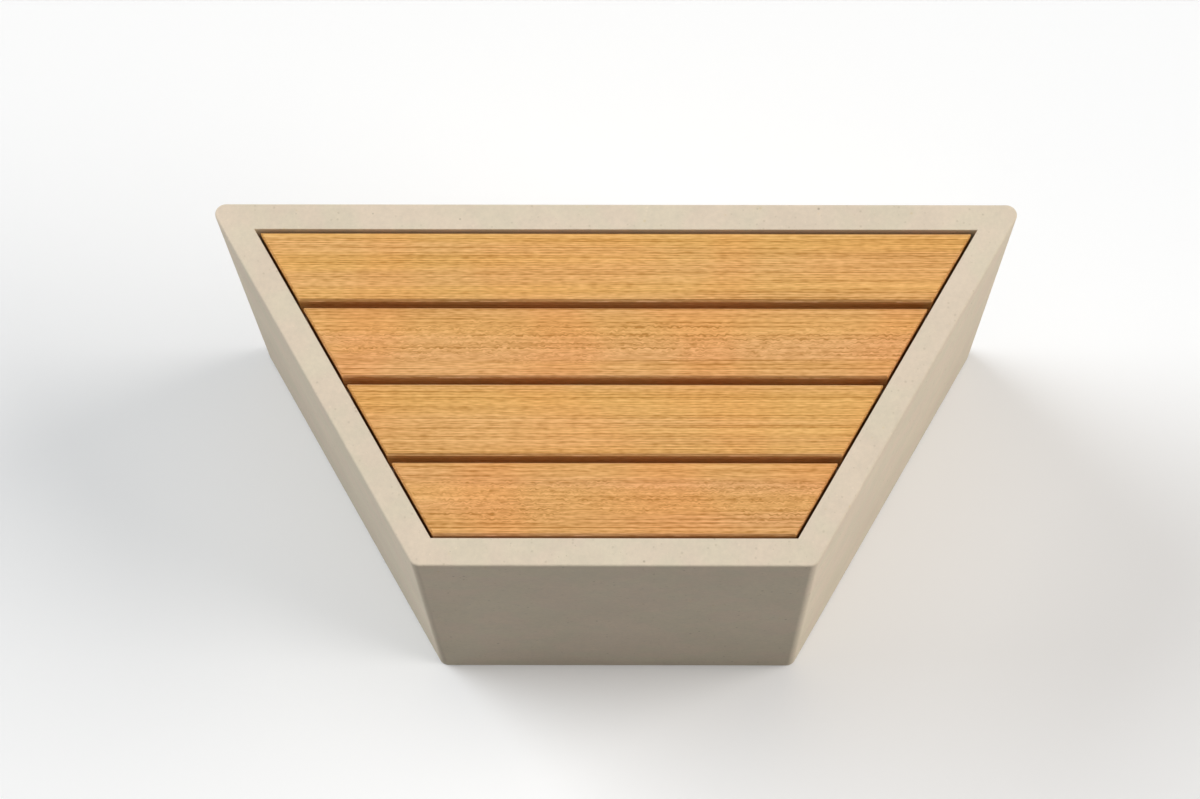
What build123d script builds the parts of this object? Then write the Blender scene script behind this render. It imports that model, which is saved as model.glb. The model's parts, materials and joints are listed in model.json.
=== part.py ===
from build123d import *
import os
from math import radians, sin, tan

# Concrete block bench, in millimetres. The origin is on the ground under the middle of the block, with the
# short front face at -Y, the long back face at +Y and the seat up +Z.

# Concrete block
seat_height = 450.0
front_width = 440.0  # between the front corners, before they are rounded
depth = 433.0
side_angle = 60.0  # between the back face and a slanted side
corner_radius = 12.0
top_edge_radius = 2.5
base_chamfer = 3.0
rim_width = 32.0
rim_edge_radius = 1.0

# Timber boards
board_count = 4
board_thickness = 40.0
board_gap = 8.0
board_chamfer_width = 2.2
board_chamfer_drop = 3.0
board_corner_radius = 1.5
deck_clearance = 3.5  # from the front and back boards to the walls of the recess
deck_end_clearance = 3.5  # from the slanted ends of the boards to the walls of the recess
deck_set_down = 1.0  # from the top of the rim to the top of the boards

# Bearers under the boards and the pads that carry them
bearer_width = 40.0
bearer_thickness = 6.0
bearer_inset = 70.0  # from a slanted wall of the recess to the middle of its bearer
bearer_end_clearance = 10.0  # to the front and back walls of the recess
pad_thickness = 6.0
pad_margin = 1.0  # between a pad and the edges of its bearer

# Screws that hold the boards on the bearers
screw_diameter = 5.0
screw_head_diameter = 10.0
screw_spacing = 36.0  # between the two screws of a board on one bearer
screw_cover = 10.0  # timber left above the tip
screw_tip = 5.0
screw_drive_width = 3.5
screw_drive_depth = 1.5
screw_clearance = 0.1

# Bolts that hold the deck down, and the inserts that take them
bolt_diameter = 4.0
bolt_head_height = 4.0
bolt_head_clearance = 0.5  # to the boards on both sides of the gap
bolt_drive_width = 3.0
bolt_drive_depth = 2.0
bolt_grip = 16.0  # length in the insert
bolt_hole_clearance = 0.25
thread_clearance = 0.05
insert_diameter = 8.0
insert_length = 22.0

# Steel cage
bar_diameter = 8.0
bar_cover = 35.0  # concrete over the outer bars
bar_bend_radius = 20.0  # on the middle of the bar
bar_tie_gap = 2.0  # mortar between crossing bars
hoop_depth = 40.0  # from the recess floor to the middle of the upper hoop

# Cast-in threaded sockets
socket_diameter = 22.0
socket_length = 80.0
socket_bore = 14.0
socket_bore_depth = 45.0
crossbar_diameter = 10.0
crossbar_length = 100.0
crossbar_end = 14.0  # from the closed end of a socket to the middle of its crossbar
crossbar_clearance = 0.2
ground_spacing_x = 300.0
ground_spacing_y = 200.0

# Drain tubes
drain_diameter = 32.0
drain_wall = 2.0
drain_setback = 70.0  # from the middle of the depth towards the front

# Heights, from the seat down to the recess floor
deck_top = seat_height - deck_set_down
board_bottom = deck_top - board_thickness
bearer_bottom = board_bottom - bearer_thickness
recess_floor = bearer_bottom - pad_thickness

# Timber deck across the depth
deck_reach = depth / 2 - rim_width - deck_clearance
board_width = (2 * deck_reach - (board_count - 1) * board_gap) / board_count
board_pitch = board_width + board_gap
board_centres = [deck_reach - board_width / 2 - i * board_pitch for i in range(board_count)]
gap_centres = [y - board_pitch / 2 for y in board_centres[:-1]]
bolted_gaps = [gap_centres[0], gap_centres[-1]]
bearer_reach = depth / 2 - rim_width - bearer_end_clearance
bearer_sides = {"left": -1, "centre": 0, "right": 1}

bottom_up = (Align.CENTER, Align.CENTER, Align.MIN)
top_down = (Align.CENTER, Align.CENTER, Align.MAX)


def half_width(y, inset):
    """Half the width of the block's plan at y, with its slanted sides drawn in by inset."""
    outer = front_width / 2 + (y + depth / 2) / tan(radians(side_angle))
    return outer - inset / sin(radians(side_angle))


def plan_corners(inset):
    """Corners of the block's plan, drawn in by inset from all four faces, counter-clockwise."""
    reach = depth / 2 - inset
    front = half_width(-reach, inset)
    back = half_width(reach, inset)
    return [(-front, -reach), (front, -reach), (back, reach), (-back, reach)]


def bearer_x(side, y):
    """Middle of a bearer at y: the side ones run along the slanted walls of the recess."""
    return side * half_width(y, rim_width + bearer_inset)


def on_bearers(rows, z):
    """Points on the middles of the three bearers at height z, for each y in rows."""
    return [Vector(bearer_x(side, y), y, z) for side in bearer_sides.values() for y in rows]


screw_rows = [y + shift * screw_spacing / 2 for y in board_centres for shift in (-1, 1)]

# Steel cage: two hoops with an upright nested in each bend and one at the middle of each side
hoop_inset = bar_cover + bar_diameter / 2
hoop_heights = {"lower": hoop_inset, "upper": recess_floor - hoop_depth}


def make_hoop(height):
    with BuildPart() as hoop:
        with BuildLine(Plane.XY.offset(height)) as bend_line:
            FilletPolyline(*plan_corners(hoop_inset), radius=bar_bend_radius, close=True)
        with BuildSketch(Plane(origin=bend_line.line @ 0, z_dir=bend_line.line % 0)):
            Circle(bar_diameter / 2)
        sweep(path=bend_line.line)
    return hoop.part


hoops = {name: make_hoop(height) for name, height in hoop_heights.items()}

upright_spots = []
for corner, bend in zip(plan_corners(hoop_inset), plan_corners(hoop_inset + bar_bend_radius)):
    towards_corner = (Vector(corner) - Vector(bend)).normalized()
    upright_spots.append(Vector(bend) + towards_corner * (bar_bend_radius - bar_diameter - bar_tie_gap))
side_ends = plan_corners(hoop_inset + bar_diameter + bar_tie_gap)
for start, end in zip(side_ends, side_ends[1:] + side_ends[:1]):
    upright_spots.append((Vector(start) + Vector(end)) / 2)

with BuildPart(Plane.XY.offset(bar_cover)) as reinforcement_uprights:
    with Locations(*upright_spots):
        Cylinder(bar_diameter / 2, recess_floor - 2 * bar_cover, align=bottom_up)

# Cast-in sockets: two in the recess floor on the line of the block's weight, four in the underside
back_width = 2 * half_width(depth / 2, 0)
weight_line = depth * (front_width + 2 * back_width) / (3 * (front_width + back_width)) - depth / 2
lifting_x = bearer_x(1, weight_line) / 2
lifting_mouths = {
    name: Plane(origin=(side * lifting_x, weight_line, recess_floor), x_dir=(1, 0, 0), z_dir=(0, 0, -1))
    for name, side in (("left", -1), ("right", 1))
}
ground_mouths = {
    f"{row}_{name}": Plane(origin=(side * ground_spacing_x / 2, end * ground_spacing_y / 2, 0))
    for row, end in (("front", -1), ("back", 1))
    for name, side in (("left", -1), ("right", 1))
}
socket_mouths = list(lifting_mouths.values()) + list(ground_mouths.values())
crossbar_depth = socket_length - crossbar_end


def make_socket(mouth):
    with BuildPart(mouth) as socket:
        Cylinder(socket_diameter / 2, socket_length, align=bottom_up)
        Cylinder(socket_bore / 2, socket_bore_depth, align=bottom_up, mode=Mode.SUBTRACT)
        with Locations((0, 0, crossbar_depth)):
            Cylinder(
                crossbar_diameter / 2 + crossbar_clearance,
                socket_diameter,
                rotation=(0, 90, 0),
                mode=Mode.SUBTRACT,
            )
    return socket.part


def make_crossbars(*mouths):
    with BuildPart() as crossbars:
        with Locations(*mouths):
            with Locations((0, 0, crossbar_depth)):
                Cylinder(crossbar_diameter / 2, crossbar_length, rotation=(0, 90, 0))
    return crossbars.part


lifting_sockets = {name: make_socket(mouth) for name, mouth in lifting_mouths.items()}
lifting_crossbars = {name: make_crossbars(mouth) for name, mouth in lifting_mouths.items()}
ground_sockets = {name: make_socket(mouth) for name, mouth in ground_mouths.items()}
ground_crossbars = make_crossbars(*ground_mouths.values())

# Inserts in the recess floor, under the bolts
bolt_spots = on_bearers(bolted_gaps, recess_floor)
with BuildPart() as deck_inserts:
    with Locations(*bolt_spots):
        Cylinder(insert_diameter / 2, insert_length, align=top_down)
        Cylinder(bolt_diameter / 2 + thread_clearance, insert_length, align=top_down, mode=Mode.SUBTRACT)

# Drain tubes, from the recess floor through the underside
drain_x = bearer_x(1, -drain_setback) / 2
drain_spots = {"left": Vector(-drain_x, -drain_setback), "right": Vector(drain_x, -drain_setback)}


def make_drain_tube(spot):
    with BuildPart() as drain_tube:
        with BuildSketch():
            with Locations(spot):
                Circle(drain_diameter / 2)
                Circle(drain_diameter / 2 - drain_wall, mode=Mode.SUBTRACT)
        extrude(amount=recess_floor)
    return drain_tube.part


drain_tubes = {name: make_drain_tube(spot) for name, spot in drain_spots.items()}

# Concrete block, cast round the cage, the sockets, the inserts and the drain tubes
with BuildPart() as concrete_block:
    with BuildSketch():
        Polygon(*plan_corners(0))
    extrude(amount=seat_height)
    fillet(concrete_block.edges().filter_by(Axis.Z), corner_radius)
    fillet(concrete_block.faces().sort_by(Axis.Z)[-1].edges(), top_edge_radius)
    chamfer(concrete_block.faces().sort_by(Axis.Z)[0].edges(), base_chamfer)
    with BuildSketch(Plane.XY.offset(recess_floor)):
        Polygon(*plan_corners(rim_width))
    extrude(amount=seat_height - recess_floor, mode=Mode.SUBTRACT)
    rim_top = concrete_block.faces().sort_by(Axis.Z)[-1]
    fillet(rim_top.inner_wires()[0].edges(), rim_edge_radius)
    with Locations(*socket_mouths):
        Cylinder(socket_diameter / 2, socket_length, align=bottom_up, mode=Mode.SUBTRACT)
    with Locations(*bolt_spots):
        Cylinder(insert_diameter / 2, insert_length, align=top_down, mode=Mode.SUBTRACT)
    with Locations(*drain_spots.values()):
        Cylinder(drain_diameter / 2, recess_floor, align=bottom_up, mode=Mode.SUBTRACT)
    for bars in (*hoops.values(), reinforcement_uprights.part, *lifting_crossbars.values(), ground_crossbars):
        add(bars, mode=Mode.SUBTRACT)


# Bearers: the side ones have their ends cut parallel to the front and back walls
screw_head_depth = (screw_head_diameter - screw_diameter) / 2


def make_bearer(side):
    half_across = bearer_width / 2
    if side != 0:
        half_across = half_across / sin(radians(side_angle))
    front = bearer_x(side, -bearer_reach)
    back = bearer_x(side, bearer_reach)
    with BuildPart() as bearer:
        with BuildSketch(Plane.XY.offset(bearer_bottom)):
            Polygon(
                (front - half_across, -bearer_reach),
                (front + half_across, -bearer_reach),
                (back + half_across, bearer_reach),
                (back - half_across, bearer_reach),
            )
        extrude(amount=bearer_thickness)
        with Locations(*[(bearer_x(side, y), y, bearer_bottom) for y in bolted_gaps]):
            Cylinder(
                bolt_diameter / 2 + bolt_hole_clearance, bearer_thickness, align=bottom_up, mode=Mode.SUBTRACT
            )
        with Locations(*[(bearer_x(side, y), y, bearer_bottom) for y in screw_rows]):
            Cylinder(
                screw_diameter / 2 + screw_clearance, bearer_thickness, align=bottom_up, mode=Mode.SUBTRACT
            )
            Cone(
                screw_head_diameter / 2 + screw_clearance,
                screw_diameter / 2 + screw_clearance,
                screw_head_depth,
                align=bottom_up,
                mode=Mode.SUBTRACT,
            )
    return bearer.part


bearers = {name: make_bearer(side) for name, side in bearer_sides.items()}

# Pads between the bearers and the recess floor, under every gap
with BuildPart() as bearer_pads:
    with Locations(*on_bearers(gap_centres, recess_floor)):
        Cylinder(bearer_width / 2 - pad_margin, pad_thickness, align=bottom_up)
        Cylinder(bolt_diameter / 2 + bolt_hole_clearance, pad_thickness, align=bottom_up, mode=Mode.SUBTRACT)

# Wood screws, driven up from under the bearers
screw_length = bearer_thickness + board_thickness - screw_cover
with BuildPart() as screw:
    Cone(screw_head_diameter / 2, screw_diameter / 2, screw_head_depth, align=bottom_up)
    Cylinder(screw_diameter / 2, screw_length - screw_tip, align=bottom_up)
    with Locations((0, 0, screw_length - screw_tip)):
        Cone(screw_diameter / 2, 0, screw_tip, align=bottom_up)
    with BuildSketch():
        RegularPolygon(screw_drive_width / 2, 6, major_radius=False)
    extrude(amount=screw_drive_depth, mode=Mode.SUBTRACT)

with BuildPart() as board_screws:
    with Locations(*on_bearers(screw_rows, bearer_bottom)):
        add(screw.part)

# Bolts, put down between the boards until their heads sit on the bearers
bolt_length = bearer_thickness + pad_thickness + bolt_grip
with BuildPart() as bolt:
    Cylinder(board_gap / 2 - bolt_head_clearance, bolt_head_height, align=bottom_up)
    Cylinder(bolt_diameter / 2, bolt_length, align=top_down)
    with BuildSketch(Plane.XY.offset(bolt_head_height)):
        RegularPolygon(bolt_drive_width / 2, 6, major_radius=False)
    extrude(amount=-bolt_drive_depth, mode=Mode.SUBTRACT)

with BuildPart() as hold_down_bolts:
    with Locations(*on_bearers(bolted_gaps, board_bottom)):
        add(bolt.part)


# Boards, from the back: their ends follow the slanted walls of the recess
def make_board(centre):
    front = centre - board_width / 2
    back = centre + board_width / 2
    deck_inset = rim_width + deck_end_clearance
    corners = [
        (-half_width(front, deck_inset), front),
        (half_width(front, deck_inset), front),
        (half_width(back, deck_inset), back),
        (-half_width(back, deck_inset), back),
    ]
    with BuildPart() as board:
        with BuildSketch(Plane.XY.offset(board_bottom)):
            Polygon(*corners)
        extrude(amount=board_thickness)
        board_top = board.faces().sort_by(Axis.Z)[-1]
        chamfer(board_top.edges(), board_chamfer_width, board_chamfer_drop, reference=board_top)
        with BuildSketch(Plane.XY.offset(board_bottom)) as rounded_plan:
            Polygon(*corners)
            fillet(rounded_plan.vertices(), board_corner_radius)
        extrude(amount=board_thickness, mode=Mode.INTERSECT)
        rows = [centre - screw_spacing / 2, centre + screw_spacing / 2]
        with Locations(*on_bearers(rows, board_bottom)):
            Cylinder(
                screw_diameter / 2 + screw_clearance,
                screw_length - bearer_thickness,
                align=bottom_up,
                mode=Mode.SUBTRACT,
            )
    return board.part


pieces = {
    "concrete_block": concrete_block.part,
    "reinforcement_uprights": reinforcement_uprights.part,
    "ground_crossbars": ground_crossbars,
    "deck_inserts": deck_inserts.part,
    "bearer_pads": bearer_pads.part,
    "board_screws": board_screws.part,
    "hold_down_bolts": hold_down_bolts.part,
}
for name, hoop in hoops.items():
    pieces[f"reinforcement_hoop_{name}"] = hoop
for name in lifting_mouths:
    pieces[f"lifting_socket_{name}"] = lifting_sockets[name]
    pieces[f"lifting_crossbar_{name}"] = lifting_crossbars[name]
    pieces[f"drain_tube_{name}"] = drain_tubes[name]
for name, socket in ground_sockets.items():
    pieces[f"ground_socket_{name}"] = socket
for name, bearer in bearers.items():
    pieces[f"bearer_{name}"] = bearer
for number, centre in enumerate(board_centres, start=1):
    pieces[f"seat_board_{number}"] = make_board(centre)

os.makedirs("parts", exist_ok=True)
for name, piece in pieces.items():
    piece.label = name
    export_step(piece, f"parts/{name}.step")
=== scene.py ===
import json
import math
import random

import bmesh
import bpy
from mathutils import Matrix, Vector


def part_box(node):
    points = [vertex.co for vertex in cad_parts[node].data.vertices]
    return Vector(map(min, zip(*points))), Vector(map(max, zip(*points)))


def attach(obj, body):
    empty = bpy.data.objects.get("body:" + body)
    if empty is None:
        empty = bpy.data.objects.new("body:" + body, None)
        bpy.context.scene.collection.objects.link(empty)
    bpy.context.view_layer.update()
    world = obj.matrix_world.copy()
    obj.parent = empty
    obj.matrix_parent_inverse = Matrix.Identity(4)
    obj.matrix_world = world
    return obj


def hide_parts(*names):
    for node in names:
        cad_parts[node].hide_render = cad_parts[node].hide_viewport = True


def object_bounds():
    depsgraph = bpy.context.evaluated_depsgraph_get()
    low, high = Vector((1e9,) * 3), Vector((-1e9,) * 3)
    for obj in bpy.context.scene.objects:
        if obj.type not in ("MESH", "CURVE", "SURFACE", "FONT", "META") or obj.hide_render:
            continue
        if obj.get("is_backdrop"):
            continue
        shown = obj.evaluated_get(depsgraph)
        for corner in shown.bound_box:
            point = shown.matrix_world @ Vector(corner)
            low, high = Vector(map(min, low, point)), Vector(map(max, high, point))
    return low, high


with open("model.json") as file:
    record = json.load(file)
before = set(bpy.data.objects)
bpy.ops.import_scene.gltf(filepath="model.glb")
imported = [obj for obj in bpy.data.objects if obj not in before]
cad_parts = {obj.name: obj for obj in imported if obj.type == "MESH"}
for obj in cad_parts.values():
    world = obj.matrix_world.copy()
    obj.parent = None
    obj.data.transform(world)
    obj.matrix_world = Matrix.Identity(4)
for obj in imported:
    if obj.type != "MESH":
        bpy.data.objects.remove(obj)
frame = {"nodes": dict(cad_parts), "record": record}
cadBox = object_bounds()                                    # the CAD box, before anything is added
print("frame loaded,", len(frame["nodes"]), "nodes")


# selecting and cutting

nearEnough = 1e-5                                       # metres


def onlyThis(piece):
    bpy.ops.object.select_all(action="DESELECT")
    piece.select_set(True)
    bpy.context.view_layer.objects.active = piece


def openMesh(piece):                                    # edit mode with nothing selected
    onlyThis(piece)
    bpy.ops.object.mode_set(mode="EDIT")
    bpy.ops.mesh.select_all(action="DESELECT")


def closeMesh():
    bpy.ops.object.mode_set(mode="OBJECT")


def pickPoints(piece, wanted):
    bpy.ops.mesh.select_mode(type="VERT")
    bpy.ops.mesh.select_all(action="DESELECT")
    mesh = bmesh.from_edit_mesh(piece.data)
    for point in mesh.verts:
        if wanted(point.co):
            point.select_set(True)
    mesh.select_flush_mode()
    bmesh.update_edit_mesh(piece.data)


def pickEdges(piece, wanted):
    bpy.ops.mesh.select_mode(type="EDGE")
    bpy.ops.mesh.select_all(action="DESELECT")
    mesh = bmesh.from_edit_mesh(piece.data)
    mesh.normal_update()
    for edge in mesh.edges:
        if wanted(edge):
            edge.select_set(True)
    bmesh.update_edit_mesh(piece.data)


def edgesAtHeight(height):
    return lambda edge: all(abs(point.co.z - height) < nearEnough for point in edge.verts)


def applyModifier(piece, kind, **settings):
    onlyThis(piece)
    modifier = piece.modifiers.new(kind.lower(), kind)
    for name, value in settings.items():
        setattr(modifier, name, value)
    bpy.ops.object.modifier_apply(modifier=modifier.name)


def combine(piece, tool, operation):                    # the tool is used up
    applyModifier(piece, "BOOLEAN", operation=operation, solver="MANIFOLD", object=tool)
    bpy.data.objects.remove(tool)


def smoothOver(piece, angle):                           # soft bevels, flat faces stay flat
    onlyThis(piece)
    bpy.ops.object.shade_smooth_by_angle(angle=math.radians(angle))
    applyModifier(piece, "WEIGHTED_NORMAL", keep_sharp=True)


def joinNext(name):                                     # the first shape is the piece, later ones join it
    if bpy.context.mode == "OBJECT":
        bpy.context.object.name = name
        bpy.ops.object.transform_apply(location=True, rotation=True, scale=True)
        bpy.ops.object.mode_set(mode="EDIT")


def addCylinders(name, spots, radius, bottom, top, sides):  # upright, all in one mesh
    bpy.ops.object.select_all(action="DESELECT")
    for x, y in spots:
        bpy.ops.mesh.primitive_cylinder_add(
            vertices=sides, radius=radius, depth=top - bottom, location=(x, y, (bottom + top) / 2)
        )
        joinNext(name)
    closeMesh()
    return bpy.context.object


# the block's plan, shared by the block, its recess and the boards

blockLow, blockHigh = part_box("concrete_block")
blockPlan = {
    "frontWidth": 0.440,            # between the front corners before they are rounded
    "sideAngle": math.radians(60),  # between the back face and a slanted side
    "depth": blockHigh.y - blockLow.y,
    "height": blockHigh.z,
    "rimWidth": 0.032,
    "bearerInset": 0.070,           # from a slanted wall of the recess to the middle of its bearer
}


def halfWidth(y, inset):                                # of the plan at y, drawn in by inset
    slant = (y + blockPlan["depth"] / 2) / math.tan(blockPlan["sideAngle"])
    return blockPlan["frontWidth"] / 2 + slant - inset / math.sin(blockPlan["sideAngle"])


def onBearers(rows):                                    # where the three bearers cross each row
    inset = blockPlan["rimWidth"] + blockPlan["bearerInset"]
    return [(side * halfWidth(y, inset), y) for side in (-1, 0, 1) for y in rows]


def addSlab(name, inset, frontY, backY, bottom, top):   # a trapezoid slab inside the plan
    bpy.ops.object.select_all(action="DESELECT")
    middleY = (frontY + backY) / 2
    bpy.ops.mesh.primitive_cube_add(size=1, location=(0, middleY, (bottom + top) / 2))
    slab = bpy.context.object
    slab.name = slab.data.name = name
    slab.scale = (2 * halfWidth(backY, inset), backY - frontY, top - bottom)
    bpy.ops.object.transform_apply(location=True, rotation=True, scale=True)
    openMesh(slab)
    pickPoints(slab, lambda spot: spot.y < middleY)
    narrower = halfWidth(frontY, inset) / halfWidth(backY, inset)
    bpy.ops.transform.resize(value=(narrower, 1, 1), center_override=(0, frontY, bottom))
    closeMesh()
    return slab


def roundUprightEdges(slab, radius, steps):             # a round corner, whatever its angle
    middleY = sum(point.co.y for point in slab.data.vertices) / len(slab.data.vertices)
    openMesh(slab)
    for atBack, corner in ((True, blockPlan["sideAngle"]), (False, math.pi - blockPlan["sideAngle"])):
        bulge = 1 - 1 / (2 * (1 + math.sin(corner / 2)))
        pickEdges(slab, lambda edge: (
            abs(edge.verts[0].co.z - edge.verts[1].co.z) > nearEnough
            and all((point.co.y > middleY) == atBack for point in edge.verts)
        ))
        bpy.ops.mesh.bevel(
            offset_type="OFFSET", offset=radius / math.tan(corner / 2), segments=steps,
            profile=bulge ** 2, affect="EDGES", clamp_overlap=False,
        )
    closeMesh()


# concrete block

concreteBlock = {
    "cornerRadius": 0.012,
    "cornerSteps": 12,
    "topEdgeRadius": 0.0025,
    "topEdgeSteps": 5,
    "baseChamfer": 0.003,
    "rimEdgeRadius": 0.001,
    "rimEdgeSteps": 3,
    "recessFloor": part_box("bearer_pads")[0].z,
    "insertGaps": ((1, 2), (3, 4)),  # boards on both sides of a gap that has inserts under it
    "insertRadius": 0.004,
    "insertDepth": 0.022,
    "holeSides": 64,
    "overshoot": 0.001,             # a cutter reaches this far past the face it opens
    "smoothAngle": 40,
    "pitSeed": 11,
    "pitsOnRim": 90,
    "pitsOnWalls": 150,
    "pitRadius": (0.0005, 0.0013),  # at the mouth
    "pitSlope": math.radians(48),   # of its wall at the mouth
    "pitDetail": 2,
    "pitEdgeMargin": 0.006,         # kept clear on the rim
    "pitWallMargin": 0.030,         # and on the upright faces
}


def isRecessRim(edge):                                  # between an upright wall and the flat top
    wallTilt, topTilt = 0.1, 0.9                        # at most and at least, 1 is level
    tilts = sorted(abs(face.normal.z) for face in edge.link_faces)
    return edgesAtHeight(blockPlan["height"])(edge) and tilts[0] < wallTilt and tilts[-1] > topTilt


def boreHole(piece, node):                              # a round hole the size of a cast-in piece
    low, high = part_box(node)
    past = concreteBlock["overshoot"]
    opensUp = high.z > concreteBlock["recessFloor"] - nearEnough
    opensDown = low.z < nearEnough
    spots = [((low.x + high.x) / 2, (low.y + high.y) / 2)]
    hole = addCylinders(
        "hole", spots, (high.y - low.y) / 2, low.z - past * opensDown, high.z + past * opensUp,
        concreteBlock["holeSides"],
    )
    combine(piece, hole, "DIFFERENCE")


def boreInsertHoles(piece):                             # under the outer gaps between the boards
    rows = []
    for behind, ahead in concreteBlock["insertGaps"]:
        rows.append((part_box(f"seat_board_{behind}")[0].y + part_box(f"seat_board_{ahead}")[1].y) / 2)
    floor = concreteBlock["recessFloor"]
    holes = addCylinders(
        "holes", onBearers(rows), concreteBlock["insertRadius"], floor - concreteBlock["insertDepth"],
        floor + concreteBlock["overshoot"], concreteBlock["holeSides"],
    )
    combine(piece, holes, "DIFFERENCE")


def rimSpots(count, dice):                              # places on the rim and which way they face
    inset = blockPlan["rimWidth"]
    margin = concreteBlock["pitEdgeMargin"]
    reach = blockPlan["depth"] / 2
    while count:
        y = dice.uniform(-reach + margin, reach - margin)
        x = dice.uniform(-1, 1) * (halfWidth(y, margin) - margin)
        inRecess = abs(y) < reach - inset + margin and abs(x) < halfWidth(y, inset - margin)
        if not inRecess:
            count -= 1
            yield (x, y, blockPlan["height"]), (0, 0, 1)


def wallSpots(count, dice):                             # places on the four upright faces
    reach = blockPlan["depth"] / 2
    front, back = halfWidth(-reach, 0), halfWidth(reach, 0)
    corners = [(-front, -reach), (front, -reach), (back, reach), (-back, reach)]
    sides = list(zip(corners, corners[1:] + corners[:1]))
    lengths = [math.dist(*side) for side in sides]
    margin = concreteBlock["pitWallMargin"]
    for start, end in dice.choices(sides, weights=lengths, k=count):
        length = math.dist(start, end)
        along = dice.uniform(margin, length - margin) / length
        x = start[0] + (end[0] - start[0]) * along
        y = start[1] + (end[1] - start[1]) * along
        z = dice.uniform(margin, blockPlan["height"] - margin)
        yield (x, y, z), ((end[1] - start[1]) / length, (start[0] - end[0]) / length, 0)


def cutPits(piece):                                     # shallow air holes left by the casting
    dice = random.Random(concreteBlock["pitSeed"])
    spots = list(rimSpots(concreteBlock["pitsOnRim"], dice))
    spots += list(wallSpots(concreteBlock["pitsOnWalls"], dice))
    low, high = concreteBlock["pitRadius"]
    bpy.ops.object.select_all(action="DESELECT")
    for spot, facing in spots:
        mouth = low + (high - low) * dice.random() ** 2     # most are small
        ball = mouth / math.sin(concreteBlock["pitSlope"])
        lift = ball * math.cos(concreteBlock["pitSlope"])
        bpy.ops.mesh.primitive_ico_sphere_add(
            subdivisions=concreteBlock["pitDetail"], radius=ball,
            location=[place + way * lift for place, way in zip(spot, facing)],
            rotation=[dice.uniform(0, math.pi) for _ in range(3)],
        )
        joinNext("pits")
    closeMesh()
    combine(piece, bpy.context.object, "DIFFERENCE")


def makeConcreteBody():
    reach = blockPlan["depth"] / 2
    height = blockPlan["height"]
    body = addSlab("concreteBody", 0, -reach, reach, 0, height)
    roundUprightEdges(body, concreteBlock["cornerRadius"], concreteBlock["cornerSteps"])
    openMesh(body)
    pickEdges(body, edgesAtHeight(height))
    bpy.ops.mesh.bevel(
        offset=concreteBlock["topEdgeRadius"], segments=concreteBlock["topEdgeSteps"], affect="EDGES"
    )
    pickEdges(body, edgesAtHeight(0))
    bpy.ops.mesh.bevel(offset=concreteBlock["baseChamfer"], segments=1, affect="EDGES")
    closeMesh()
    rim = blockPlan["rimWidth"]
    floor = concreteBlock["recessFloor"]
    recess = addSlab("recess", rim, -reach + rim, reach - rim, floor, height + rim)
    combine(body, recess, "DIFFERENCE")
    openMesh(body)
    pickEdges(body, isRecessRim)
    bpy.ops.mesh.bevel(
        offset=concreteBlock["rimEdgeRadius"], segments=concreteBlock["rimEdgeSteps"], affect="EDGES"
    )
    closeMesh()
    for node in sorted(frame["nodes"]):
        if "_socket_" in node or node.startswith("drain_tube"):
            boreHole(body, node)
    boreInsertHoles(body)
    cutPits(body)
    smoothOver(body, concreteBlock["smoothAngle"])
    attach(body, "root")
    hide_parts("concrete_block")
    return body


concreteBody = makeConcreteBody()
print("concrete block:", len(concreteBody.data.polygons), "faces")


# timber boards

boards = {
    "count": 4,
    "inset": 0.0355,                # rim and the gap at the slanted ends
    "chamferWidth": 0.0022,
    "chamferDrop": 0.0030,
    "cornerRadius": 0.0015,
    "cornerSteps": 8,
    "arris": 0.0003,                # worn off every sharp edge
    "arrisSteps": 2,
    "arrisAngle": math.radians(25),
    "smoothAngle": 40,
    "screwSpacing": 0.036,
    "pilotRadius": 0.0026,
    "pilotDepth": 0.030,
    "pilotSides": 24,
}


def makeBoard(number):
    node = f"seat_board_{number}"
    low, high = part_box(node)
    plan = (boards["inset"], low.y, high.y, low.z, high.z)
    board = addSlab(f"seatBoard{number}", *plan)
    openMesh(board)
    pickEdges(board, edgesAtHeight(high.z))
    bpy.ops.mesh.bevel(offset=boards["chamferWidth"], segments=1, affect="EDGES")
    foot = high.z - boards["chamferWidth"]
    pickPoints(board, lambda spot: abs(spot.z - foot) < nearEnough)
    bpy.ops.transform.translate(value=(0, 0, boards["chamferWidth"] - boards["chamferDrop"]))
    closeMesh()
    blank = addSlab("blank", *plan)
    roundUprightEdges(blank, boards["cornerRadius"], boards["cornerSteps"])
    combine(board, blank, "INTERSECT")
    applyModifier(
        board, "BEVEL", width=boards["arris"], segments=boards["arrisSteps"],
        limit_method="ANGLE", angle_limit=boards["arrisAngle"],
    )
    middle = (low.y + high.y) / 2
    rows = [middle - boards["screwSpacing"] / 2, middle + boards["screwSpacing"] / 2]
    pilots = addCylinders(
        "pilots", onBearers(rows), boards["pilotRadius"], low.z - concreteBlock["overshoot"],
        low.z + boards["pilotDepth"], boards["pilotSides"],
    )
    combine(board, pilots, "DIFFERENCE")
    smoothOver(board, boards["smoothAngle"])
    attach(board, "root")
    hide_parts(node)
    return board


seatBoards = [makeBoard(number) for number in range(1, boards["count"] + 1)]
print("boards:", [len(board.data.polygons) for board in seatBoards], "faces")


# building materials from nodes

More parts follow.
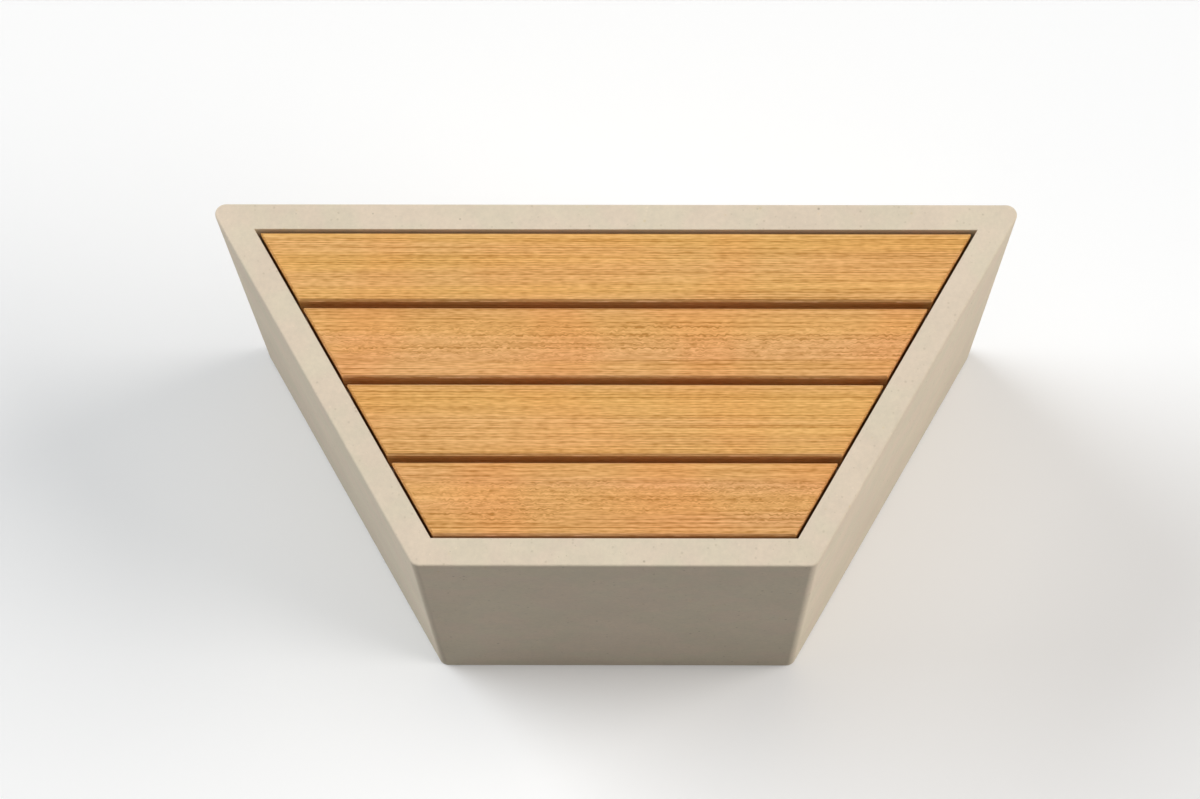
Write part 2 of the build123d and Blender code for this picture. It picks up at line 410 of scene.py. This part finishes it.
class Recipe:                                           # one material and the nodes added to it
    def __init__(self, name):
        self.material = bpy.data.materials.new(name)
        self.material.use_nodes = True
        self.tree = self.material.node_tree
        self.shader = self.tree.nodes["Principled BSDF"]
        self.spot = self.add("TexCoord").outputs["Object"]

    def add(self, kind, inputs=None, **settings):
        node = self.tree.nodes.new("ShaderNode" + kind)
        for name, value in settings.items():
            setattr(node, name, value)
        for name, value in (inputs or {}).items():
            self.feed(node.inputs[name], value)
        return node

    def feed(self, socket, value):                      # a link, or a plain number or colour
        if isinstance(value, bpy.types.NodeSocket):
            self.tree.links.new(value, socket)
        else:
            socket.default_value = value

    def stretch(self, scale=(1, 1, 1), shift=(0, 0, 0), spot=None):
        node = self.add("Mapping", {"Vector": spot or self.spot, "Scale": scale, "Location": shift})
        return node.outputs["Vector"]

    def axes(self, spot):                               # its X, Y and Z, one by one
        return self.add("SeparateXYZ", {"Vector": spot}).outputs

    def noise(self, spot, detail=2.0, roughness=0.5, scale=1.0):
        inputs = {"Vector": spot, "Scale": scale, "Detail": detail, "Roughness": roughness}
        return self.add("TexNoise", inputs).outputs["Fac"]

    def cells(self, spot, scale):                       # distance to the nearest seed, and its own dice
        node = self.add("TexVoronoi", {"Vector": spot, "Scale": scale}, feature="F1")
        dice = self.add("SeparateColor", {"Color": node.outputs["Color"]})
        return node.outputs["Distance"], dice.outputs["Red"]

    def sum(self, operation, first, second=0.0, third=0.0):
        node = self.add("Math", operation=operation)
        for socket, value in zip(node.inputs, (first, second, third)):
            self.feed(socket, value)
        return node.outputs[0]

    def share(self, first, second, part):               # part of the first, the rest of the second
        return self.sum("MULTIPLY_ADD", first, part, self.sum("MULTIPLY", second, 1 - part))

    def lean(self, base, value, amount):                # base, moved by value's distance from a half
        return self.sum("MULTIPLY_ADD", self.sum("SUBTRACT", value, 0.5), amount, base)

    def wave(self, place, pitch, stray, reach):         # from -1 to 1, pushed by stray, in pitches
        phase = self.lean(self.sum("DIVIDE", place, pitch), stray, reach)
        return self.sum("SINE", self.sum("MULTIPLY", phase, 2 * math.pi))

    def fade(self, value, low, high, start=0.0, end=1.0):   # smooth step from low to high
        inputs = {"Value": value, "From Min": low, "From Max": high, "To Min": start, "To Max": end}
        return self.add("MapRange", inputs, interpolation_type="SMOOTHSTEP").outputs["Result"]

    def blend(self, factor, first, second, kind="MIX"):
        node = self.add("Mix", data_type="RGBA", blend_type=kind)
        colours = [socket for socket in node.inputs if socket.type == "RGBA"]
        self.feed(node.inputs["Factor"], factor)
        for socket, value in zip(colours, (first, second)):
            self.feed(socket, value)
        return next(socket for socket in node.outputs if socket.type == "RGBA")

    def ramp(self, value, stops):
        node = self.add("ValToRGB", {"Fac": value})
        marks = node.color_ramp.elements                # it starts with the two at the ends
        for place, colour in stops[1:-1]:
            marks.new(place)
        for mark, (place, colour) in zip(marks, stops):
            mark.position = place
            mark.color = (*colour, 1)
        return node.outputs["Color"]

    def between(self, value, limits, first, second):    # a colour for each limit
        return self.ramp(self.fade(value, *limits), [(0.0, first), (1.0, second)])

    def times(self, first, second, amount=1.0):
        return self.blend(amount, first, second, "MULTIPLY")

    def tinted(self, colour, tint, amount=1.0):
        return self.times(colour, (*tint, 1), amount)

    def relief(self, height, depth, strength):
        inputs = {"Height": height, "Distance": depth, "Strength": strength}
        self.tree.links.new(self.add("Bump", inputs).outputs["Normal"], self.shader.inputs["Normal"])

    def finish(self, **sockets):
        for name, value in sockets.items():
            self.feed(self.shader.inputs[name.replace("_", " ")], value)
        return self.material


def dress(piece, material):
    piece.data.materials.clear()
    piece.data.materials.append(material)


# concrete finish

concreteLook = {
    "base": (0.712, 0.607, 0.476),
    "cloud": {"scale": 9, "detail": 4, "roughness": 0.55},  # scales are per metre
    "blot": {"scale": 40, "detail": 2, "roughness": 1.0},
    "blotShift": (3, 1, 2),
    "cloudShare": 0.5,                  # of the shading, the blots have the rest
    "shadeLimits": (0.32, 0.68),
    "shadeDark": (0.957, 0.957, 0.957),
    "shadeLight": (1.041, 1.041, 1.041),
    "hue": {"scale": 21, "detail": 1},
    "hueShift": (7, 5, 1),
    "hueLimits": (0.38, 0.62),
    "greenish": (0.987, 1.005, 0.981),
    "pinkish": (1.013, 0.995, 0.989),
    "sand": {"scale": 270, "detail": 2, "roughness": 0.7},
    "sandLimits": (0.3, 0.7),
    "sandDark": (0.975, 0.975, 0.972),
    "sandLight": (1.022, 1.022, 1.022),
    # cells per metre, shift, share left bare, size and soft edge in cells, tint
    "specks": {
        "faint": (135, (0.4, 0.1, 0.2), 0.30, 0.30, 0.22, (0.87, 0.86, 0.83)),
        "dark": (90, (0.4, 0.1, 0.2), 0.60, 0.20, 0.15, (0.64, 0.62, 0.58)),
        "rusty": (75, (0.3, 0.8, 0.6), 0.55, 0.18, 0.14, (0.97, 0.93, 0.80)),
        "pale": (110, (0.9, 0.5, 0.7), 0.50, 0.22, 0.16, (1.07, 1.07, 1.07)),
    },
    "paintedFootShade": (0.92, 0.925, 0.92),   # painted shade: a little darker toward the foot, where less light reaches
    "paintedShadeReach": 0.27,
    "blotRelief": 2.0,                  # against 1 for the sand
    "relief": (0.00025, 0.35),          # depth and strength
    "roughLimits": (0.3, 0.7),
    "roughness": (0.72, 0.88),
}


def concreteFinish():
    look = concreteLook
    mix = Recipe("castConcrete")
    cloud = mix.noise(mix.spot, **look["cloud"])
    blot = mix.noise(mix.stretch(shift=look["blotShift"]), **look["blot"])
    hue = mix.noise(mix.stretch(shift=look["hueShift"]), **look["hue"])
    sand = mix.noise(mix.spot, **look["sand"])
    shade = mix.share(cloud, blot, look["cloudShare"])
    tone = mix.between(shade, look["shadeLimits"], look["shadeDark"], look["shadeLight"])
    tint = mix.between(hue, look["hueLimits"], look["greenish"], look["pinkish"])
    grit = mix.between(sand, look["sandLimits"], look["sandDark"], look["sandLight"])
    colour = mix.times(mix.tinted(mix.times(tone, tint), look["base"]), grit)
    for cells, shift, bare, reach, soft, tint in look["specks"].values():
        distance, pick = mix.cells(mix.stretch(shift=shift), cells)
        size = mix.fade(pick, bare, 1.0, 0.0, reach)
        colour = mix.tinted(colour, tint, mix.fade(mix.sum("SUBTRACT", size, distance), 0.0, soft))
    height = mix.axes(mix.spot)["Z"]
    # painted shade, strongest at the ground and fading out upward
    colour = mix.tinted(colour, look["paintedFootShade"], mix.fade(height, look["paintedShadeReach"], 0.0))
    mix.relief(mix.sum("MULTIPLY_ADD", blot, look["blotRelief"], sand), *look["relief"])
    rough = mix.fade(blot, *look["roughLimits"], *look["roughness"])
    return mix.finish(Base_Color=colour, Roughness=rough)


dress(concreteBody, concreteFinish())


# timber finish, grain along X

timberLook = {
    "stops": [                      # from the darkest grain line to the palest fibre
        (0.00, (0.496, 0.222, 0.045)),
        (0.25, (0.620, 0.305, 0.081)),
        (0.50, (0.711, 0.364, 0.111)),
        (0.75, (0.793, 0.420, 0.138)),
        (1.00, (0.881, 0.492, 0.176)),
    ],
    "middle": 0.66,                         # where plain wood lies between them
    "wander": ((1.5, 9, 9), 0.0014),        # cells per metre, and how far they push the grain sideways
    "ripple": ((210, 240, 240), 0.0030),
    "rippleEdge": ((14, 34, 34), 0.05),     # and how far the rippled strip's edge wavers
    "rippleHalf": (0.026, 0.012),           # half width of the strip, where it starts and is full
    "lineSlant": 0.6,                       # sideways for each step down into the board
    "lineStray": (1.0, 0.23, 0.9),          # cells per metre, cells per pitch, and how far, in pitches
    "lineBreak": (5.0, 0.65, 0.2),          # cells alike, and what is left of a line where it fades
    "breakShift": (0.7, 0.1, 0.4),
    "breakLimits": (0.35, 0.65),
    "layers": {                             # cells per metre, shift, and how much each counts
        "band": ((0.9, 55, 55), (0.9, 0.2, 0.5), 0.10),
        "strand": ((1.6, 240, 240), (0.7, 0.1, 0.4), 0.45),
        "hair": ((2.4, 520, 520), (0.6, 0.4, 0.9), 0.60),
        "fibre": ((75, 800, 800), (0.0, 0.0, 0.0), 1.05),
        "fleck": ((150, 330, 330), (0.2, 0.5, 0.8), 0.40),
    },
    "flamePitch": 0.200,                    # between broad bands of another hue
    "flameStray": ((5, 9, 9), 1.2),         # cells per metre, and how far, in pitches
    "flameShift": (0.2, 0.7, 0.3),
    "greenish": (0.975, 1.040, 1.064),
    "reddish": (1.025, 0.960, 0.936),
    "stripe": (1.5, 50, 50),                # and long stripes, cells per metre
    "stripeShift": (0.5, 0.3, 0.8),
    "stripeLimits": (0.3, 0.7),
    "yellowish": (1.0, 0.998, 0.902),
    "bluish": (1.0, 0.998, 1.084),
    "sideTurn": (0.55, 0.75),               # how far a face turns before it counts as a side
    "sideDullAndShade": (0.90, 0.92, 1.03),        # sawn sides are duller than the planed top, and it is also painted shade on the chamfers and upper sides
    "sideDepth": (0.004, 0.024),            # where that starts to fade, and is gone; the fade is painted light that lifts the deep gap
    "paintedGlint": (1.40, 1.60, 2.10),           # painted highlight in dashes along the arris below a chamfer
    "glintCells": (28, 40, 40),
    "glintLimits": (0.53, 0.62),
    "glintWidth": (0.0010, 0.0003),           # from the arris, where it starts and is full
    "endTurn": (0.65, 0.85),                # alike, for the ends
    "endShade": (0.92, 0.88, 0.84),         # end grain drinks more oil
    "relief": (0.0003, 0.3),                # depth and strength
    "glossLimits": (0.2, 0.9),
    "roughness": (0.70, 0.55),              # of dark and of pale grain
    "specular": 0.3,
}
boardLooks = {                      # place in the log, tint, ripple, flame, and grain lines: pitch, amount
    1: {
        "shift": (0.31, 0.17, 0.05), "tint": (1.013, 1.035, 1.02), "ripple": 0.1, "flame": 0.38,
        "lines": ((0.0030, 0.44), (0.0105, 0.28)),
    },
    2: {
        "shift": (1.73, 0.64, 0.29), "tint": (1.0, 0.966, 1.03), "ripple": 1.0, "flame": 0.63,
        "lines": ((0.0031, 0.24), (0.0051, 0.42), (0.0190, 0.10)),
    },
    3: {
        "shift": (2.92, 1.21, 0.71), "tint": (1.0, 1.006, 0.99), "ripple": 0.1, "flame": 0.38,
        "lines": ((0.0031, 0.46), (0.0110, 0.21)),
    },
    4: {
        "shift": (4.37, 1.88, 0.43), "tint": (0.993, 0.950, 1.05), "ripple": 1.0, "flame": 0.63,
        "lines": ((0.0030, 0.24), (0.0050, 0.42), (0.0200, 0.10)),
    },
}


def grainOf(mix, number):                               # coordinates that follow the grain
    low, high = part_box(f"seat_board_{number}")
    log = mix.stretch(shift=boardLooks[number]["shift"])
    edgeCells, edgeReach = timberLook["rippleEdge"]
    edge = mix.noise(mix.stretch(edgeCells, spot=log), detail=2)
    middle = (low.y + high.y) / 2
    offMiddle = mix.sum("ABSOLUTE", mix.sum("SUBTRACT", mix.axes(mix.spot)["Y"], middle))
    rippleCells, rippleReach = timberLook["ripple"]
    reach = boardLooks[number]["ripple"] * rippleReach
    strip = mix.fade(mix.lean(offMiddle, edge, edgeReach), *timberLook["rippleHalf"], 0.0, reach)
    strayCells, strayReach = timberLook["wander"]
    stray = mix.lean(0.0, mix.noise(mix.stretch(strayCells, spot=log), detail=1), strayReach)
    stray = mix.lean(stray, mix.noise(mix.stretch(rippleCells, spot=log), detail=0), strip)
    sway = mix.add("CombineXYZ", {"Y": stray, "Z": stray}).outputs["Vector"]
    return log, mix.add("VectorMath", {0: log, 1: sway}, operation="ADD").outputs["Vector"]


def grainLines(mix, grain, pitch):                      # 1 on a line, 0 between lines
    look = timberLook
    place = mix.axes(grain)
    rise = mix.sum("MULTIPLY_ADD", place["Z"], look["lineSlant"], place["Y"])
    along, across, reach = look["lineStray"]
    stray = mix.noise(mix.stretch((along, across / pitch, across / pitch), spot=grain), detail=0)
    wave = mix.wave(rise, pitch, stray, reach)
    along, across, left = look["lineBreak"]
    cells = (along, across / pitch, across / pitch)
    whole = mix.noise(mix.stretch(cells, look["breakShift"], grain), detail=0)
    return mix.sum("MULTIPLY", mix.fade(wave, 0.0, 1.0), mix.fade(whole, *look["breakLimits"], left, 1.0))


def sideShadeAndGlint(mix, colour, sideOn, log, top):           # duller sawn sides with painted shade below the top, and a painted highlight in dashes on the arris
    look = timberLook
    depth = mix.sum("SUBTRACT", top, mix.axes(mix.spot)["Z"])
    # painted shade on the upper sides and chamfers, fading out deeper in the gap
    dullAndShade = mix.fade(depth, *look["sideDepth"], 1.0, 0.0)
    dullAndShade = mix.sum("MULTIPLY", dullAndShade, mix.fade(sideOn, *look["sideTurn"]))
    colour = mix.tinted(colour, look["sideDullAndShade"], dullAndShade)
    # painted highlight: pale dashes where the arris would catch light
    offArris = mix.sum("ABSOLUTE", mix.sum("SUBTRACT", depth, boards["chamferDrop"]))
    dash = mix.fade(mix.noise(mix.stretch(look["glintCells"], spot=log), detail=1), *look["glintLimits"])
    paintedGlint = mix.sum("MULTIPLY", dash, mix.fade(offArris, *look["glintWidth"]))
    return mix.tinted(colour, look["paintedGlint"], paintedGlint)


def timberFinish(number):
    look = timberLook
    mix = Recipe(f"oiledTimber{number}")
    log, grain = grainOf(mix, number)
    light = look["middle"]
    for pitch, amount in boardLooks[number]["lines"]:
        light = mix.sum("MULTIPLY_ADD", grainLines(mix, grain, pitch), -amount, light)
    for cells, shift, amount in look["layers"].values():
        light = mix.lean(light, mix.noise(mix.stretch(cells, shift, grain), detail=0), amount)
    strayCells, strayReach = look["flameStray"]
    stray = mix.noise(mix.stretch(strayCells, look["flameShift"], log), detail=0)
    flame = mix.wave(mix.axes(log)["X"], look["flamePitch"], stray, strayReach)
    hue = mix.between(flame, (-1.0, 1.0), look["greenish"], look["reddish"])
    colour = mix.times(mix.ramp(light, look["stops"]), hue, boardLooks[number]["flame"])
    stripe = mix.noise(mix.stretch(look["stripe"], look["stripeShift"], grain), detail=0)
    hue = mix.between(stripe, look["stripeLimits"], look["yellowish"], look["bluish"])
    colour = mix.tinted(mix.times(colour, hue), boardLooks[number]["tint"])
    facing = mix.axes(mix.add("TexCoord").outputs["Normal"])
    endOn = mix.sum("ABSOLUTE", facing["X"])
    sideOn = mix.sum("ABSOLUTE", facing["Y"])
    # painted shade on the sides and a painted highlight on the arris
    colour = sideShadeAndGlint(mix, colour, sideOn, log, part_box(f"seat_board_{number}")[1].z)
    colour = mix.tinted(colour, look["endShade"], mix.fade(endOn, *look["endTurn"]))
    mix.relief(light, *look["relief"])
    rough = mix.fade(light, *look["glossLimits"], *look["roughness"])
    return mix.finish(Base_Color=colour, Roughness=rough, Specular_IOR_Level=look["specular"])


for number, board in enumerate(seatBoards, start=1):
    dress(board, timberFinish(number))
print("concrete and timber dressed")


# hardware finishes: darkest and palest colour, metal, roughness and grain per metre

hardwareLook = {
    "galvanised_steel": ((0.36, 0.38, 0.39), (0.58, 0.60, 0.61), 0.9, 0.50, 160),
    "stainless_steel": ((0.50, 0.49, 0.47), (0.66, 0.65, 0.63), 1.0, 0.32, 900),
    "pad_rubber": ((0.016, 0.016, 0.016), (0.036, 0.035, 0.034), 0.0, 0.85, 700),
    "insert_brass": ((0.58, 0.40, 0.16), (0.76, 0.57, 0.27), 1.0, 0.35, 800),
    "drain_plastic": ((0.33, 0.34, 0.35), (0.43, 0.44, 0.45), 0.0, 0.50, 60),
    "reinforcing_steel": ((0.10, 0.055, 0.035), (0.30, 0.15, 0.075), 0.35, 0.80, 220),
}
hardwareGrain = {                   # the same for all of them
    "mottle": {"detail": 4, "roughness": 0.65},
    "spangleShare": 0.35,           # of the shading, the mottle has the rest
    "shadeLimits": (0.25, 0.75),
    "relief": (0.00015, 0.3),       # depth and strength
    "glossLimits": (0.2, 0.8),
    "glossSwing": 0.08,             # either way from the roughness
}


def hardwareFinish(slot):
    dark, light, metal, rough, grain = hardwareLook[slot]
    look = hardwareGrain
    mix = Recipe(slot)
    mottle = mix.noise(mix.spot, scale=grain, **look["mottle"])
    spangle = mix.cells(mix.spot, grain)[1]
    shade = mix.share(spangle, mottle, look["spangleShare"])
    colour = mix.between(shade, look["shadeLimits"], dark, light)
    mix.relief(mottle, *look["relief"])
    swing = look["glossSwing"]
    rough = mix.fade(shade, *look["glossLimits"], rough + swing, rough - swing)
    return mix.finish(Base_Color=colour, Roughness=rough, Metallic=metal)


finishes = {slot: hardwareFinish(slot) for slot in hardwareLook}
for part in frame["record"]["subparts"]:
    if part["material_slot"] in finishes:
        dress(frame["nodes"][part["node"]], finishes[part["material_slot"]])
print("hardware dressed")


# floor, light and camera

studio = {
    "floorReach": 60.0,
    "floorSeen": (0.97, 0.97, 0.97),
    "floorBounce": (0.35, 0.35, 0.35),  # what the floor throws back on the bench
    "sky": 0.16,
    "softness": math.radians(48),
    "lampDistance": 3.0,
    "lights": {                         # degrees round from the right, degrees up, strength and colour
        "rightSoftbox": (0, 28, 2.28, (1.0, 0.966, 0.927)),
        "leftSoftbox": (156, 28, 2.25, (0.924, 0.966, 1.0)),
        "topSoftbox": (0, 90, 0.57, (1.0, 1.0, 1.0)),
    },
}


def addFloor():
    bpy.ops.object.select_all(action="DESELECT")
    bpy.ops.mesh.primitive_plane_add(size=studio["floorReach"], location=(0, 0, 0))
    floor = bpy.context.object
    floor.name = "floor"
    mix = Recipe("paleFloor")
    rays = mix.add("LightPath").outputs
    seen = mix.sum("MAXIMUM", rays["Is Camera Ray"], rays["Is Glossy Ray"])
    seen = mix.sum("MAXIMUM", seen, rays["Is Transmission Ray"])
    colour = mix.blend(seen, (*studio["floorBounce"], 1), (*studio["floorSeen"], 1))
    dress(floor, mix.finish(Base_Color=colour, Roughness=1.0, Specular_IOR_Level=0.0))
    floor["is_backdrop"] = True


def addSun(name, turn, rise, strength, colour):
    turn, rise = math.radians(turn), math.radians(rise)
    across = math.cos(rise)
    towards = Vector((across * math.cos(turn), across * math.sin(turn), math.sin(rise)))
    facing = towards.to_track_quat("Z", "Y").to_euler()
    bpy.ops.object.select_all(action="DESELECT")
    bpy.ops.object.light_add(type="SUN", location=studio["lampDistance"] * towards, rotation=facing)
    lamp = bpy.context.object
    lamp.name = name
    lamp.data.energy = strength
    lamp.data.angle = studio["softness"]
    lamp.data.color = colour


addFloor()
for name, light in studio["lights"].items():
    addSun(name, *light)
world = bpy.data.worlds.new("studio")
world.use_nodes = True
world.node_tree.nodes["Background"].inputs["Color"].default_value = (1, 1, 1, 1)
world.node_tree.nodes["Background"].inputs["Strength"].default_value = studio["sky"]
bpy.context.scene.world = world
bpy.context.scene.view_settings.view_transform = "Standard"

photoView = {
    "spot": (0.0268, -0.9662, 3.0365),
    "turn": (20.0365, 0.0382, 0.0976),  # degrees
    "lens": 73.893,
    "sensor": 36.0,
    "shiftX": -0.03,
}
bpy.ops.object.camera_add(
    location=photoView["spot"], rotation=[math.radians(angle) for angle in photoView["turn"]]
)
camera = bpy.context.object
camera.data.sensor_fit = "HORIZONTAL"
camera.data.sensor_width = photoView["sensor"]
camera.data.lens = photoView["lens"]
camera.data.shift_x = photoView["shiftX"]
bpy.context.scene.camera = camera
print("floor, light and camera set")

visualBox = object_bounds()
boxes = {"cad": cadBox, "visual": visualBox}
{name: [list(corner) for corner in box] for name, box in boxes.items()}
